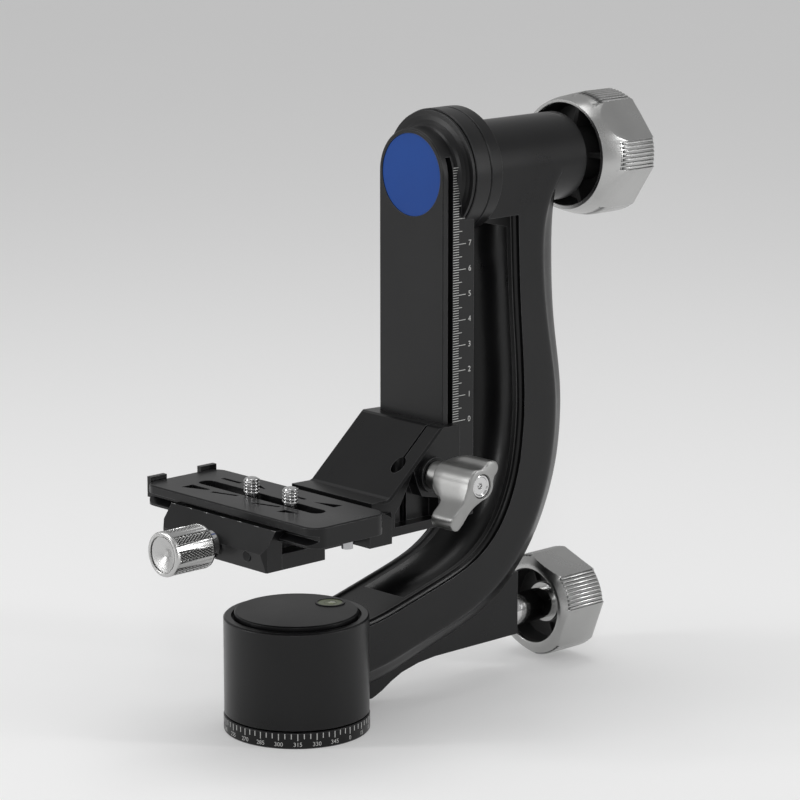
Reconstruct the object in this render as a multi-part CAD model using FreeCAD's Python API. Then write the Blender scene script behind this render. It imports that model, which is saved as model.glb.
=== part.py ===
import FreeCAD, Part
import math
import os

V = FreeCAD.Vector

# Clearances
RUN = 0.05
FACE_GAP = 0.3
SLIDE = 0.1

# Base and pan bearing
BASE_R = 28.4
BASE_H = 6.4
PAN_GAP = 0.4
HOUSING_R = 28.2
HOUSING_TOP = 45.3
HOUSING_Z = BASE_H + PAN_GAP
RIM_R = 25.2
CAP_R = 24.0
CAP_SEAT = HOUSING_TOP - 2.3
CAP_TOP = HOUSING_TOP + 1.7
SPINDLE_R = 9.0
SPINDLE_END_R = 8.0
FLANGE_R = 15.0
FLANGE_TOP = BASE_H + 2.6
BORE_R = 16.0
BEARING_H = 7.8
NUT_R = 13.0
NUT_Z = CAP_SEAT - 5.0
NUT_TOP = CAP_SEAT - 1.0
BUSH_R = 7.0
BUSH_H = 12.0
SOCKET_R = 4.76
BASE_SCREW_PCR = 11.5
BASE_SCREW_R = 2.0
BASE_SCREW_HEAD_R = 3.0
LEVEL_X = 16.3
LEVEL_Y = -1.5
LEVEL_R = 5.0
LEVEL_RING = 0.8
LEVEL_DEPTH = 3.0

# Tilt axis
TILT_Z = 210.0
EAR_R = 18.0
RAIL_X = 60.8
LIP_T = 2.7
GROOVE_T = 2.7
ARM_BACK = 77.6
GROOVE_HALF = 15.0
GROOVE_RISE = 8.0
COVE_INSET = 1.6
RAIL_BOTTOM = 75.0
HUB_R = 24.8
RING_X = 71.0
HUB_BACK = 80.4
FLANGE_X = HUB_BACK + FACE_GAP
TUBE_X = 87.0
TUBE_R = 17.8
TUBE_END = 141.4
AXLE_R = 7.0
AXLE_HEAD_R = 10.0
AXLE_TIP_R = 5.9
TILT_BORE_R = 11.0
DISC_R = 16.3
DISC_T = 0.9
DISC_SUNK = 0.3
FRICTION_R = 20.0
FRICTION_T = 1.1

# Upright
ARM_X = 102.1
ARM_HALF = 17.75
LIP_HALF = 13.5
BEAD_W = 2.9
BEAD_RISE = 0.9
COVE_HALF = 11.5
COVE_DEPTH = 7.5
LINE_DEPTH = 1.6
EDGE_DROP = 0.4
BLOCK_Z = 191.8
WEB_HALF = 10.5
WEB_Z = 17.4
WEB_END = 111.0

# Pan lock
LOCK_Z = 23.7
SHOE_R = 5.0
SHOE_END = 22.0
SHOE_TRAVEL = 1.0
ROD_R = 3.5
SLEEVE_R = 6.5
LOCK_FRONT = 128.9
LOCK_END = 152.5
LOCK_R = 21.2
LOCK_RIM_R = 17.3
LOCK_WEB = 138.4

# Share of a knob's radius at which its flats lie
FLAT_SHARE = 0.93

# Tilt lock
KNOB_FRONT = 145.5
KNOB_END = 174.2
KNOB_R = 26.0
KNOB_RIM_R = 22.5
KNOB_WEB = 157.0
KNOB_HUB_R = 12.0
WASHER_T = 1.7

# Platform
BRACKET_HALF = 23.0
BRACKET_TOP = 113.6
BRACKET_FRONT = 55.5
PLATFORM_Z = 75.0
PLATE_X = -16.0
PLATE_TOP = 94.3
PLATE_T = 7.9
PLATE_HALF = 18.7
PLATE_LEN = 99.0
PLATE_SLAB = 3.2
DOVE_IN = 3.2
PLATE_Z = PLATE_TOP - PLATE_T
CLAMP_HALF = 30.0
CLAMP_RIGHT = 22.5
NOTCH_X = (-12.0, 11.0)
JAW_TOP = 90.0
JAW_SPLIT = -33.3
JAW_OUT = -42.5
PIN_R = 2.0
PIN_Y = 20.0
PIN_Z = 80.0
CLAMP_Z = 81.0
CLAMP_ROD_R = 2.5
CLAMP_KNOB_R = 8.6
CLAMP_KNOB_FACE = -66.0
CLAMP_KNOB_BACK = -46.5
SLIT_Y = -15.0
SLIT_W = 1.0
KEYHOLE_X = 40.0
KEYHOLE_R = 3.0

# Lens plate
SLOT_HALF = 3.4
SLOT_NEAR = -29.6
SLOT_FAR = 33.3
SLOT_X = -15.8
RECESS_HALF = 6.6
RECESS_TOP = PLATE_TOP - 3.9
SCREW_R = 3.175
SCREW_NECK_R = 2.4
SCREW_HEAD_R = 6.0
SCREW_TOP = 101.0
SCREW_NEAR_Y = -14.9
SCREW_FAR_Y = 7.3
KEEPER_T = 0.9
SAFETY_R = 2.15
SAFETY_Y = 46.5

# Wing lever
LEVER_X = 50.0
LEVER_Z = 96.5
LEVER_FACE = -51.0
LEVER_BACK = -40.0
BOLT_R = 3.0
BOLT_END = -5.0
LEVER_WASHER_R = 7.0

# Stations of the upright: share of reach, share of rise above the housing, angle, flat, thickness
STATIONS = [
    (0.999, 1.0, 0, 22.0, 34.0),
    (0.999, 0.915, 0, 13.0, 31.5),
    (1.002, 0.857, 0, 8.6, 30.8),
    (1.009, 0.749, 0, 6.8, 30.2),
    (1.022, 0.624, 0, 8.4, 29.8),
    (1.034, 0.532, 0, 10.4, 30.6),
    (1.041, 0.441, 0, 12.2, 31.8),
    (1.037, 0.368, -7, 13.0, 32.4),
    (1.019, 0.284, -16, 13.0, 32.2),
    (0.982, 0.208, -30, 13.0, 31.2),
    (0.926, 0.144, -45, 13.0, 30.6),
    (0.847, 0.092, -60, 13.0, 30.2),
    (0.744, 0.054, -74, 13.0, 30.0),
    (0.607, 0.026, -84, 13.0, 30.0),
    (0.451, 0.0, -88, 13.0, 30.8),
    (0.294, -0.024, -90, 13.0, 31.0),
    (0.157, -0.036, -90, 13.0, 30.0),
]
COVE_FIRST = 2
COVE_LAST = 15


def turned_z(points, x=0.0, y=0.0):
    """Solid of revolution about an upright axis from (radius, height) points."""
    ring = [V(x + r, y, z) for r, z in points]
    face = Part.Face(Part.makePolygon(ring + [ring[0]]))
    return face.revolve(V(x, y, 0), V(0, 0, 1), 360)


def turned_x(points, z, y=0.0):
    """Solid of revolution about an axis along X from (position, radius) points."""
    ring = [V(x, y, z + r) for x, r in points]
    face = Part.Face(Part.makePolygon(ring + [ring[0]]))
    return face.revolve(V(0, y, z), V(1, 0, 0), 360)


def rod_x(r, x0, x1, y, z):
    return Part.makeCylinder(r, x1 - x0, V(x0, y, z), V(1, 0, 0))


def rod_y(r, y0, y1, x, z):
    return Part.makeCylinder(r, y1 - y0, V(x, y0, z), V(0, 1, 0))


def rod_z(r, z0, z1, x=0.0, y=0.0):
    return Part.makeCylinder(r, z1 - z0, V(x, y, z0), V(0, 0, 1))


def tube_x(r_in, r_out, x0, x1, y, z):
    return rod_x(r_out, x0, x1, y, z).cut(rod_x(r_in, x0 - 1, x1 + 1, y, z))


def tube_z(r_in, r_out, z0, z1, x=0.0, y=0.0):
    return rod_z(r_out, z0, z1, x, y).cut(rod_z(r_in, z0 - 1, z1 + 1, x, y))


def block(x0, x1, y0, y1, z0, z1):
    return Part.makeBox(x1 - x0, y1 - y0, z1 - z0, V(x0, y0, z0))


def prism_y(points, y0, y1):
    """Outline of (x, z) points carried from y0 to y1."""
    ring = [V(x, y0, z) for x, z in points]
    face = Part.Face(Part.makePolygon(ring + [ring[0]]))
    return face.extrude(V(0, y1 - y0, 0))


def prism_z(points, z0, z1):
    """Outline of (x, y) points carried from z0 to z1."""
    ring = [V(x, y, z0) for x, y in points]
    face = Part.Face(Part.makePolygon(ring + [ring[0]]))
    return face.extrude(V(0, 0, z1 - z0))


def smooth_edge(points, first, last):
    curve = Part.BSplineCurve()
    curve.interpolate(Points=points, InitialTangent=first, FinalTangent=last)
    return curve.toShape()


def edges_along(shape, axis, test):
    """Straight edges along one direction whose middle passes a test."""
    found = []
    for edge in shape.Edges:
        if len(edge.Vertexes) != 2:
            continue
        run = edge.Vertexes[1].Point - edge.Vertexes[0].Point
        if run.Length < 0.5 or abs(abs(run.dot(axis)) - run.Length) > 0.001:
            continue
        if test(edge.CenterOfMass):
            found.append(edge)
    return found


def save(shape, node):
    shape.exportStep("parts/" + node + ".step")


# Base
def base_screw_spots():
    turns = [math.radians(90 + 120 * k) for k in range(3)]
    return [(BASE_SCREW_PCR * math.cos(t), BASE_SCREW_PCR * math.sin(t)) for t in turns]


def degree_ring():
    edge = 0.4
    body = turned_z([
        (BUSH_R + RUN, 0),
        (BASE_R - edge, 0),
        (BASE_R, edge),
        (BASE_R, BASE_H - edge),
        (BASE_R - edge, BASE_H),
        (BUSH_R + RUN, BASE_H),
    ])
    for x, y in base_screw_spots():
        body = body.cut(rod_z(BASE_SCREW_R + RUN, -1, BASE_H + 1, x, y))
        body = body.cut(rod_z(BASE_SCREW_HEAD_R + RUN, -1, 2.4, x, y))
    return body


def pan_spindle():
    body = turned_z([
        (0, BUSH_H + 0.2),
        (BUSH_R + RUN, BUSH_H + 0.2),
        (BUSH_R + RUN, BASE_H),
        (FLANGE_R, BASE_H),
        (FLANGE_R, FLANGE_TOP),
        (SPINDLE_R, FLANGE_TOP),
        (SPINDLE_R, NUT_Z),
        (SPINDLE_END_R, NUT_Z),
        (SPINDLE_END_R, NUT_TOP - 0.4),
        (SPINDLE_END_R - 0.6, NUT_TOP + 0.2),
        (0, NUT_TOP + 0.2),
    ])
    for x, y in base_screw_spots():
        body = body.cut(rod_z(BASE_SCREW_R + RUN, BASE_H - 1, FLANGE_TOP - 0.2, x, y))
    return body


def thread_bush():
    return tube_z(SOCKET_R, BUSH_R, 0, BUSH_H)


def base_screw(x, y):
    head = rod_z(BASE_SCREW_HEAD_R, 0.2, 2.3, x, y)
    shank = rod_z(BASE_SCREW_R, 2.3, FLANGE_TOP - 0.4, x, y)
    return head.fuse(shank)


def spindle_nut():
    nut = tube_z(SPINDLE_END_R + RUN, NUT_R, NUT_Z, NUT_TOP)
    for k in range(4):
        notch = block(NUT_R - 2, NUT_R + 2, -1.5, 1.5, NUT_Z - 1, NUT_TOP + 1)
        notch.rotate(V(0, 0, 0), V(0, 0, 1), 90 * k)
        nut = nut.cut(notch)
    return nut


def pan_bearing(z):
    return tube_z(SPINDLE_R + RUN, BORE_R - RUN, z, z + BEARING_H)


# Pan frame
def station(row):
    reach, rise, angle, flat, thick = row
    turn = math.radians(angle)
    inner = V(ARM_X * reach, 0, HOUSING_TOP + rise * (TILT_Z - HOUSING_TOP))
    return inner, V(math.cos(turn), 0, math.sin(turn)), flat, thick


def arm_section(row):
    """Closed outline of the upright: beaded inner edges, flat sides, half-elliptical back."""
    inner, out, flat, thick = station(row)
    side = ARM_HALF
    bead_end = LIP_HALF + BEAD_W
    line_y = bead_end + 0.3

    def at(depth, y):
        return inner + out * depth + V(0, y, 0)

    def lip(sign):
        rise = at(-BEAD_RISE, sign * (LIP_HALF + BEAD_W * 0.45))
        return [
            Part.Arc(at(0, sign * LIP_HALF), rise, at(0.5, sign * bead_end)).toShape(),
            Part.makeLine(at(0.5, sign * bead_end), at(LINE_DEPTH, sign * line_y)),
            Part.makeLine(at(LINE_DEPTH, sign * line_y), at(EDGE_DROP, sign * side)),
            Part.makeLine(at(EDGE_DROP, sign * side), at(flat, sign * side)),
        ]

    back = []
    for k in range(9):
        t = math.pi * k / 8
        back.append(at(flat + (thick - flat) * math.sin(t), side * math.cos(t)))
    front = Part.makeLine(at(0, -LIP_HALF), at(0, LIP_HALF))
    edges = [front] + lip(1) + [smooth_edge(back, out, out * -1)] + lip(-1)[::-1]
    return Part.Wire(edges)


def cove_section(row):
    inner, out, flat, thick = station(row)

    def at(depth, y):
        return inner + out * depth + V(0, y, 0)

    edges = [
        Part.makeLine(at(-4, -COVE_HALF), at(0, -COVE_HALF)),
        Part.Arc(at(0, -COVE_HALF), at(COVE_DEPTH, 0), at(0, COVE_HALF)).toShape(),
        Part.makeLine(at(0, COVE_HALF), at(-4, COVE_HALF)),
        Part.makeLine(at(-4, COVE_HALF), at(-4, -COVE_HALF)),
    ]
    return Part.Wire(edges)


def pan_frame():
    arm = Part.makeLoft([arm_section(row) for row in STATIONS], True, False)
    cove = Part.makeLoft([cove_section(row) for row in STATIONS[COVE_FIRST:COVE_LAST]], True, False)
    housing = turned_z([
        (0, HOUSING_Z),
        (HOUSING_R - 0.4, HOUSING_Z),
        (HOUSING_R, HOUSING_Z + 0.4),
        (HOUSING_R, HOUSING_TOP - 0.6),
        (HOUSING_R - 0.6, HOUSING_TOP),
        (0, HOUSING_TOP),
    ])
    web = prism_y([
        (BORE_R, HOUSING_Z + 0.4),
        (HOUSING_R + 2, HOUSING_Z + 0.4),
        (HOUSING_R + 7, HOUSING_Z + 2.4),
        (HOUSING_R + 12, HOUSING_Z + 5.2),
        (HOUSING_R + 18, HOUSING_Z + 7.8),
        (HOUSING_R + 27, HOUSING_Z + 9.8),
        (HOUSING_R + 36, WEB_Z),
        (WEB_END, WEB_Z),
        (WEB_END, LOCK_Z + 20),
        (BORE_R, LOCK_Z + 14),
    ], -WEB_HALF, WEB_HALF)
    tube = turned_x([
        (FLANGE_X, 0),
        (FLANGE_X, HUB_R - 0.4),
        (FLANGE_X + 0.4, HUB_R),
        (TUBE_X - 0.6, HUB_R),
        (TUBE_X, HUB_R - 0.6),
        (TUBE_X, TUBE_R),
        (TUBE_END - 0.5, TUBE_R),
        (TUBE_END, TUBE_R - 0.5),
        (TUBE_END, 0),
    ], TILT_Z)
    head = block(TUBE_X - 1, ARM_X + 12, -ARM_HALF, ARM_HALF, TILT_Z + BLOCK_Z - 210, TILT_Z)
    body = housing.fuse([arm, web, tube, head])
    body = body.cut(rod_z(BASE_R + 0.5, HOUSING_Z - 30, HOUSING_Z))
    body = body.cut(cove)
    body = body.cut(rod_z(BORE_R, HOUSING_Z - 1, CAP_SEAT + 1))
    body = body.cut(rod_z(RIM_R, CAP_SEAT, HOUSING_TOP + 10))
    body = body.cut(rod_x(TILT_BORE_R, FLANGE_X - 1, TUBE_END + 1, 0, TILT_Z))
    body = body.cut(rod_x(ROD_R + RUN, BORE_R - 4, WEB_END + 1, 0, LOCK_Z))
    body = body.cut(rod_x(SHOE_R + RUN, BORE_R - 4, SHOE_END + 2, 0, LOCK_Z))
    return body


def top_cap():
    body = turned_z([
        (0, CAP_SEAT),
        (CAP_R, CAP_SEAT),
        (CAP_R, CAP_TOP - 0.5),
        (CAP_R - 0.5, CAP_TOP),
        (0, CAP_TOP),
    ])
    seat = LEVEL_R + LEVEL_RING + RUN
    return body.cut(rod_z(seat, CAP_TOP - LEVEL_DEPTH, CAP_TOP + 1, LEVEL_X, LEVEL_Y))


def level_ring():
    return tube_z(LEVEL_R, LEVEL_R + LEVEL_RING, CAP_TOP - LEVEL_DEPTH, CAP_TOP + 0.3, LEVEL_X, LEVEL_Y)


def bubble_level():
    return rod_z(LEVEL_R - RUN, CAP_TOP - LEVEL_DEPTH, CAP_TOP + 0.1, LEVEL_X, LEVEL_Y)


def brake_shoe():
    pad = rod_x(SHOE_R, SPINDLE_R + 0.5, SHOE_END, 0, LOCK_Z)
    hollow = rod_z(SPINDLE_R + SHOE_TRAVEL + FACE_GAP, LOCK_Z - 10, LOCK_Z + 10)
    return pad.cut(hollow)


def tilt_bearing(x):
    return tube_x(AXLE_R + RUN, TILT_BORE_R - RUN, x, x + BEARING_H, 0, TILT_Z)


# Pan lock
def flats(front, end, reach, z, turn):
    """Six flats round a knob, cut between its ridged corners."""
    cuts = []
    for k in range(6):
        slab = block(front - 1, end + 1, -reach, reach, reach * FLAT_SHARE, reach + 1)
        slab.rotate(V(0, 0, 0), V(1, 0, 0), turn + 60 * k)
        slab.translate(V(0, 0, z))
        cuts.append(slab)
    return cuts


def ribs(front, end, low, high, thick, z, turn):
    """Six radial ribs inside a knob's hollow front."""
    made = []
    for k in range(6):
        rib = block(front, end, -thick / 2, thick / 2, low, high)
        rib.rotate(V(0, 0, 0), V(1, 0, 0), turn + 60 * k)
        rib.translate(V(0, 0, z))
        made.append(rib)
    return made


def pan_lock_knob():
    body = turned_x([
        (LOCK_FRONT, LOCK_RIM_R - 1.6),
        (LOCK_FRONT, LOCK_RIM_R),
        (LOCK_FRONT + 1.6, LOCK_RIM_R + 0.7),
        (LOCK_FRONT + 4.4, LOCK_R - 0.9),
        (LOCK_FRONT + 6.4, LOCK_R),
        (LOCK_END - 2.2, LOCK_R),
        (LOCK_END - 0.7, LOCK_R - 1.0),
        (LOCK_END, LOCK_R - 3.0),
        (LOCK_END, 0),
        (LOCK_WEB, 0),
        (LOCK_WEB, LOCK_RIM_R - 2.6),
    ], LOCK_Z)
    for slab in flats(LOCK_FRONT, LOCK_END, LOCK_R, LOCK_Z, 40):
        body = body.cut(slab)
    for rib in ribs(LOCK_FRONT + 5, LOCK_WEB + 1, SLEEVE_R + 3, LOCK_RIM_R - 1.8, 0.8, LOCK_Z, 22):
        body = body.fuse(rib)
    return body.cut(rod_x(ROD_R + RUN, LOCK_WEB - 1, LOCK_END - 2, 0, LOCK_Z))


def pan_lock_rod():
    return rod_x(ROD_R, SHOE_END + FACE_GAP, LOCK_END - 2.2, 0, LOCK_Z)


def pan_lock_sleeve():
    return tube_x(ROD_R + RUN, SLEEVE_R, WEB_END + FACE_GAP, LOCK_WEB - 1.6, 0, LOCK_Z)


def pan_lock_collar():
    return tube_x(SLEEVE_R + RUN, SLEEVE_R + 1.6, WEB_END + FACE_GAP, WEB_END + 2.4, 0, LOCK_Z)


def pan_lock_washer():
    return tube_x(ROD_R + RUN, SLEEVE_R + 1.7, LOCK_WEB - 1.6, LOCK_WEB, 0, LOCK_Z)


# Swing arm
def ear_outline(half, bottom):
    """Upright plate outline in the YZ plane with a round top on the tilt axis."""
    left = V(0, -half, TILT_Z)
    right = V(0, half, TILT_Z)
    wire = Part.Wire([
        Part.makeLine(V(0, -half, bottom), left),
        Part.Arc(left, V(0, 0, TILT_Z + half), right).toShape(),
        Part.makeLine(right, V(0, half, bottom)),
        Part.makeLine(V(0, half, bottom), V(0, -half, bottom)),
    ])
    return Part.Face(wire)


def ear_plate(half, x0, x1):
    face = ear_outline(half, RAIL_BOTTOM)
    face.translate(V(x0, 0, 0))
    return face.extrude(V(x1 - x0, 0, 0))


def swing_arm():
    lip = edged(ear_plate(EAR_R, RAIL_X, RAIL_X + LIP_T), 0.5, lambda p: p.x < RAIL_X + 0.01)
    neck = ear_plate(GROOVE_HALF, RAIL_X + LIP_T, RAIL_X + LIP_T + GROOVE_T)
    body = ear_plate(EAR_R, RAIL_X + LIP_T + GROOVE_T, ARM_BACK)
    start = RAIL_X + LIP_T + GROOVE_T + COVE_INSET
    cove = [(start, 0), (start, EAR_R)]
    for k in range(1, 6):
        t = math.radians(18 * k)
        x = start + (RING_X - start) * math.sin(t)
        cove.append((x, EAR_R + (HUB_R - 0.6 - EAR_R) * (1 - math.cos(t))))
    crown = ear_plate(EAR_R, RAIL_X + LIP_T, RAIL_X + LIP_T + GROOVE_T)
    crown = crown.cut(block(RAIL_X, ARM_BACK, -EAR_R - 1, EAR_R + 1, RAIL_BOTTOM - 1, TILT_Z + GROOVE_RISE))
    hub = turned_x(cove + [
        (RING_X + 1.2, HUB_R - 0.6),
        (RING_X + 1.2, HUB_R - 1.3),
        (RING_X + 1.6, HUB_R - 1.3),
        (RING_X + 1.6, HUB_R - 0.3),
        (RING_X + 1.9, HUB_R),
        (HUB_BACK - 0.4, HUB_R),
        (HUB_BACK, HUB_R - 0.4),
        (HUB_BACK, 0),
    ], TILT_Z)
    arm = lip.fuse([neck, crown, body, hub])
    seat = RAIL_X + DISC_SUNK + DISC_T
    arm = arm.cut(rod_x(DISC_R, RAIL_X - 1, seat, 0, TILT_Z))
    arm = arm.cut(rod_x(AXLE_HEAD_R + RUN, RAIL_X - 1, seat + 2.5, 0, TILT_Z))
    arm = arm.cut(rod_x(AXLE_R + RUN, RAIL_X - 1, HUB_BACK + 1, 0, TILT_Z))
    return arm.cut(rod_x(FRICTION_R + RUN, HUB_BACK - FRICTION_T, HUB_BACK + 1, 0, TILT_Z))


def label_disc():
    x = RAIL_X + DISC_SUNK
    return rod_x(DISC_R - SLIDE, x, x + DISC_T, 0, TILT_Z)


def tilt_axle():
    head = RAIL_X + DISC_SUNK + DISC_T
    return turned_x([
        (head, 0),
        (head, AXLE_HEAD_R),
        (head + 2.5, AXLE_HEAD_R),
        (head + 2.5, AXLE_R),
        (TUBE_END, AXLE_R),
        (TUBE_END, AXLE_TIP_R),
        (KNOB_WEB - 5, AXLE_TIP_R),
        (KNOB_WEB - 5, 0),
    ], TILT_Z)


def friction_disc():
    return tube_x(AXLE_R + RUN, FRICTION_R, HUB_BACK - FRICTION_T, HUB_BACK, 0, TILT_Z)


# Tilt lock
def thrust_washer():
    return tube_x(AXLE_TIP_R + RUN, KNOB_HUB_R + 2, TUBE_END + FACE_GAP, TUBE_END + FACE_GAP + WASHER_T, 0, TILT_Z)


def tilt_lock_knob():
    hub_front = TUBE_END + FACE_GAP + WASHER_T
    body = turned_x([
        (hub_front, 0),
        (hub_front, KNOB_HUB_R - 1),
        (KNOB_WEB, KNOB_HUB_R),
        (KNOB_WEB, KNOB_RIM_R - 2.4),
        (KNOB_FRONT, KNOB_RIM_R - 1.6),
        (KNOB_FRONT, KNOB_RIM_R),
        (KNOB_FRONT + 3.0, KNOB_RIM_R + 0.7),
        (KNOB_FRONT + 7.4, KNOB_R - 1.1),
        (KNOB_FRONT + 10.8, KNOB_R),
        (KNOB_END - 2.2, KNOB_R),
        (KNOB_END - 0.7, KNOB_R - 1.0),
        (KNOB_END, KNOB_R - 3.0),
        (KNOB_END, 0),
    ], TILT_Z)
    for slab in flats(KNOB_FRONT, KNOB_END, KNOB_R, TILT_Z, 0):
        body = body.cut(slab)
    for rib in ribs(KNOB_FRONT + 4, KNOB_WEB + 1, KNOB_HUB_R - 2, KNOB_RIM_R - 1, 2.0, TILT_Z, 12):
        body = body.fuse(rib)
    return body.cut(rod_x(AXLE_TIP_R + RUN, hub_front - 1, KNOB_WEB - 4.8, 0, TILT_Z))


# Platform
def jaw_foot():
    """Height at which the clamp carries the plate."""
    return PLATE_Z - SLIDE


def bracket_pocket():
    """Relief in each side of the bracket, behind its sloping front edge."""
    foot = CLAMP_RIGHT + 8
    return [
        (foot, PLATFORM_Z + 3.5),
        (foot, JAW_TOP - 6),
        (foot + 3, JAW_TOP - 3),
        (LEVER_X - LEVER_WASHER_R - 2.5, LEVER_Z + 3),
        (LEVER_X - LEVER_WASHER_R - 0.5, LEVER_Z - 3),
        (LEVER_X - LEVER_WASHER_R + 2, LEVER_Z - LEVER_WASHER_R - 1),
        (LEVER_X + 4, LEVER_Z - LEVER_WASHER_R - 3),
        (LEVER_X + 4, PLATFORM_Z + 3.5),
    ]


def edged(shape, size, test):
    """Shape with its edges chamfered where both ends pass a test."""
    picked = [e for e in shape.Edges if all(test(v.Point) for v in e.Vertexes)]
    return shape.makeChamfer(size, picked)


def platform_bracket():
    back = RAIL_X + LIP_T + GROOVE_T - 0.8
    riser = prism_y([
        (back, PLATFORM_Z),
        (back, BRACKET_TOP),
        (BRACKET_FRONT, BRACKET_TOP + 0.4),
        (CLAMP_RIGHT + 5.5, JAW_TOP),
        (CLAMP_RIGHT - 4, JAW_TOP),
        (CLAMP_RIGHT - 4, PLATFORM_Z),
    ], -BRACKET_HALF, BRACKET_HALF)
    slope = CLAMP_RIGHT + 5
    riser = edged(riser, 0.8, lambda p: p.z > JAW_TOP - 1 and slope < p.x < back - 0.5)
    edge = PLATE_X + PLATE_HALF + SLIDE
    bed = prism_y([
        (JAW_SPLIT, PLATFORM_Z),
        (CLAMP_RIGHT, PLATFORM_Z),
        (CLAMP_RIGHT, JAW_TOP - 4.9),
        (CLAMP_RIGHT - 5.8, JAW_TOP - 1.5),
        (CLAMP_RIGHT - 9, JAW_TOP),
        (edge - DOVE_IN + 0.4, JAW_TOP),
        (edge - DOVE_IN + 0.4, JAW_TOP - 0.8),
        (edge + 0.3, jaw_foot() + 0.8),
        (edge + 0.3, jaw_foot()),
        (JAW_SPLIT, jaw_foot()),
    ], -CLAMP_HALF, CLAMP_HALF)
    body = riser.fuse(bed)
    for sign in (-1, 1):
        cheek = prism_z([
            (CLAMP_RIGHT - 2, sign * (BRACKET_HALF - 1)),
            (CLAMP_RIGHT - 2, sign * CLAMP_HALF),
            (CLAMP_RIGHT, sign * CLAMP_HALF),
            (CLAMP_RIGHT + 6, sign * BRACKET_HALF),
            (CLAMP_RIGHT + 6, sign * (BRACKET_HALF - 1)),
        ], PLATFORM_Z, JAW_TOP - 4.9)
        body = body.fuse(cheek)
        ends = sorted([sign * (CLAMP_HALF - 7), sign * (CLAMP_HALF + 1)])
        notch = sorted([sign * (CLAMP_HALF - 11), sign * (CLAMP_HALF + 1)])
        body = body.cut(block(NOTCH_X[0], NOTCH_X[1], notch[0], notch[1], PLATFORM_Z - 1, jaw_foot() - 1.8))
        side = sorted([sign * (BRACKET_HALF - 5.5), sign * (BRACKET_HALF + 1)])
        body = body.cut(prism_y(bracket_pocket(), side[0], side[1]))
        body = body.cut(block(JAW_SPLIT - 1, edge - 2, ends[0], ends[1], PLATFORM_Z + 6, jaw_foot() + 1))
        body = body.cut(rod_x(PIN_R + RUN, JAW_SPLIT - 1, -14.8, sign * PIN_Y, PIN_Z))
    rail = block(RAIL_X - SLIDE, RAIL_X + LIP_T + SLIDE, -EAR_R - SLIDE, EAR_R + SLIDE, PLATFORM_Z - 1, BRACKET_TOP + 2)
    mouth = block(RAIL_X + LIP_T, back + 1, -GROOVE_HALF - SLIDE, GROOVE_HALF + SLIDE, PLATFORM_Z - 1, BRACKET_TOP + 2)
    slit = block(KEYHOLE_X, RAIL_X + 1, SLIT_Y - SLIT_W / 2, SLIT_Y + SLIT_W / 2, PLATFORM_Z - 1, BRACKET_TOP + 2)
    body = body.cut(rail)
    body = body.cut(mouth)
    body = body.cut(slit)
    body = body.cut(rod_z(KEYHOLE_R, PLATFORM_Z - 1, BRACKET_TOP + 2, KEYHOLE_X, SLIT_Y))
    body = body.cut(rod_y(BOLT_R + RUN, -BRACKET_HALF - 1, BOLT_END + 0.5, LEVER_X, LEVER_Z))
    reach = JAW_SPLIT + 22
    return body.cut(rod_x(CLAMP_ROD_R + RUN, JAW_SPLIT - 1, reach, 0, CLAMP_Z))


def guide_pin(sign):
    return rod_x(PIN_R, JAW_OUT + 2.5, -15.0, sign * PIN_Y, PIN_Z)


def lever_washer():
    y = -BRACKET_HALF
    return rod_y(LEVER_WASHER_R, y - 2.2, y, LEVER_X, LEVER_Z).cut(rod_y(BOLT_R + RUN, y - 5, y + 1, LEVER_X, LEVER_Z))


def clamp_jaw():
    edge = PLATE_X - PLATE_HALF - SLIDE
    split = JAW_SPLIT - RUN * 2
    body = prism_y([
        (split, PLATFORM_Z),
        (split, jaw_foot()),
        (edge - 0.3, jaw_foot()),
        (edge - 0.3, jaw_foot() + 0.8),
        (edge + DOVE_IN - 0.4, JAW_TOP - 0.8),
        (edge + DOVE_IN - 0.4, JAW_TOP),
        (-36.6, JAW_TOP + 0.3),
        (JAW_OUT, PLATFORM_Z + 7),
        (JAW_OUT + 1.5, PLATFORM_Z),
    ], -CLAMP_HALF, CLAMP_HALF)
    body = body.cut(rod_x(CLAMP_ROD_R + RUN, JAW_OUT - 2, split + 1, 0, CLAMP_Z))
    for sign in (-1, 1):
        body = body.cut(rod_x(PIN_R + SLIDE, JAW_OUT - 2, split + 1, sign * PIN_Y, PIN_Z))
        wedge = prism_z([
            (JAW_OUT - 1, sign * (CLAMP_HALF - 3)),
            (JAW_OUT + 3, sign * (CLAMP_HALF + 1)),
            (JAW_OUT - 1, sign * (CLAMP_HALF + 1)),
        ], PLATFORM_Z - 1, JAW_TOP + 2)
        body = body.cut(wedge)
    return body


# Clamp knob
def clamp_knob():
    face = CLAMP_KNOB_FACE
    return turned_x([
        (face + 2.6, 0),
        (face + 2.6, 2.0),
        (face + 0.5, CLAMP_KNOB_R - 1.9),
        (face, CLAMP_KNOB_R - 1.5),
        (face, CLAMP_KNOB_R - 0.6),
        (face + 0.6, CLAMP_KNOB_R),
        (CLAMP_KNOB_BACK - 1.2, CLAMP_KNOB_R),
        (CLAMP_KNOB_BACK, CLAMP_KNOB_R - 1.2),
        (CLAMP_KNOB_BACK, CLAMP_ROD_R + RUN),
        (face + 8, CLAMP_ROD_R + RUN),
        (face + 8, 0),
    ], CLAMP_Z)


def clamp_rod():
    return rod_x(CLAMP_ROD_R, CLAMP_KNOB_FACE + 8.2, JAW_SPLIT + 16, 0, CLAMP_Z)


def clamp_collar():
    return tube_x(CLAMP_ROD_R + RUN, CLAMP_KNOB_R - 3, CLAMP_KNOB_BACK, JAW_OUT - FACE_GAP, 0, CLAMP_Z)


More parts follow.
